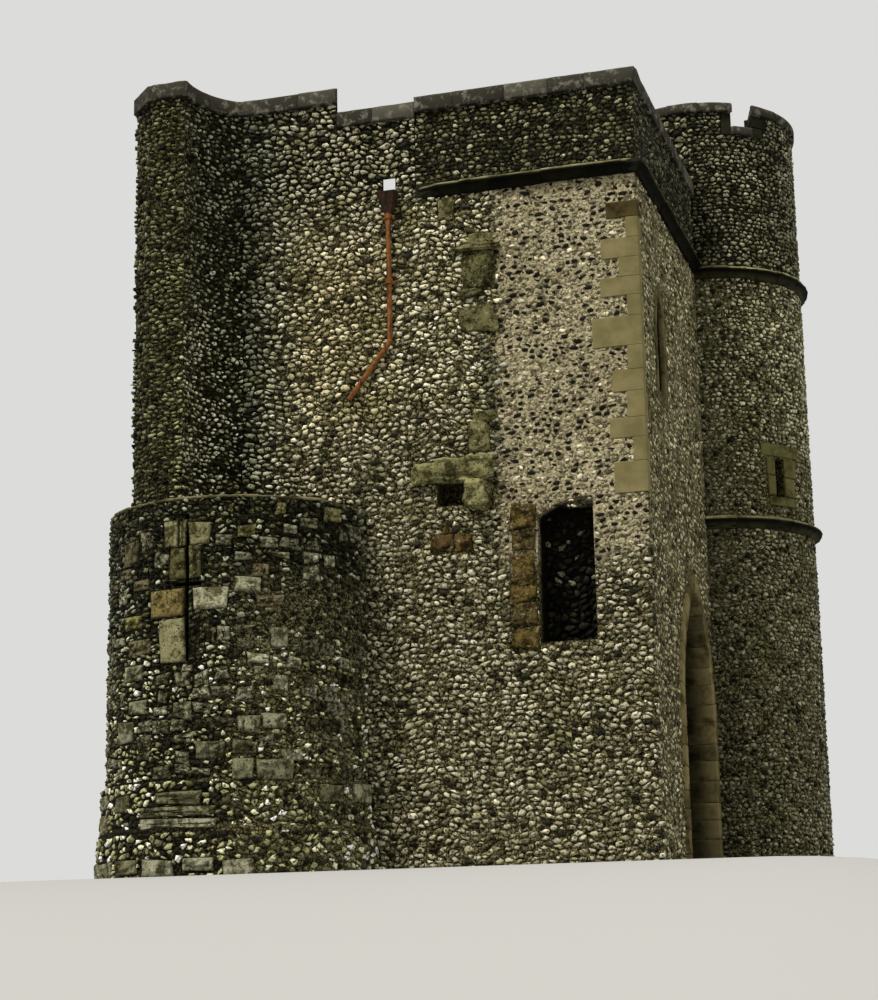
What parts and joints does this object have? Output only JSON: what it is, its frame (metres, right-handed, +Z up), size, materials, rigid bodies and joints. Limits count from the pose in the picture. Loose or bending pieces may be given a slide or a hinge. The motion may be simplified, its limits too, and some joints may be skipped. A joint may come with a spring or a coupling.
{
  "type": "barbican gatehouse",
  "caption": "Flint-rubble barbican: a gate block with arched passage, low round drums with cross-slits, coved piers, parapet walk and a tall round stair turret.",
  "frame": {"origin": "on the ground under the middle of the plan's bounding box", "axes": "+X out through the inner (rear) gate face, +Y towards the far flank with the stair turret's side, +Z up"},
  "size_m": [10.459, 11.36, 13.9],
  "materials": {
    "flint_rubble": "rough",
    "drum_stone": "rough",
    "dressed_stone": "matte",
    "coping_stone": "matte",
    "string_stone": "matte",
    "rusted_iron": "rough",
    "floor_boards": "matte",
    "lead_roof": "matte"
  },
  "bodies": {
    "root": {"downpipe": "rusted_iron", "drum_floors": "floor_boards", "far_copings": "coping_stone", "far_drum_cap": "drum_stone", "far_drum_plinth": "drum_stone", "far_drum_wall": "flint_rubble", "far_flank_lower": "flint_rubble", "far_flank_upper": "flint_rubble", "far_parapet": "flint_rubble", "far_pier": "flint_rubble", "far_string_course": "string_stone", "flank_scar_stones": "dressed_stone", "front_coping": "coping_stone", "front_gate_arch": "dressed_stone", "front_parapet": "flint_rubble", "front_wall_far_side": "flint_rubble", "front_wall_near_side": "flint_rubble", "front_wall_over_gate": "flint_rubble", "front_wall_upper": "flint_rubble", "hopper_head": "rusted_iron", "lancet_frames": "dressed_stone", "near_copings": "coping_stone", "near_drum_cap": "drum_stone", "near_drum_plinth": "drum_stone", "near_drum_wall": "flint_rubble", "near_flank_lower": "flint_rubble", "near_flank_upper": "flint_rubble", "near_parapet": "flint_rubble", "near_pier": "flint_rubble", "pier_copings": "coping_stone", "rear_coping": "coping_stone", "rear_gate_arch": "dressed_stone", "rear_parapet": "flint_rubble", "rear_wall_far_side": "flint_rubble", "rear_wall_near_side": "flint_rubble", "rear_wall_over_gate": "flint_rubble", "rear_wall_upper": "flint_rubble", "roof_deck": "lead_roof", "string_course": "string_stone", "turret_coping": "coping_stone", "turret_deck": "lead_roof", "turret_lower_stage": "flint_rubble", "turret_middle_stage": "flint_rubble", "turret_parapet": "flint_rubble", "turret_slit_frame": "dressed_stone", "turret_strings": "string_stone", "turret_upper_stage": "flint_rubble", "upper_floor": "floor_boards"}
  },
  "joints": []
}
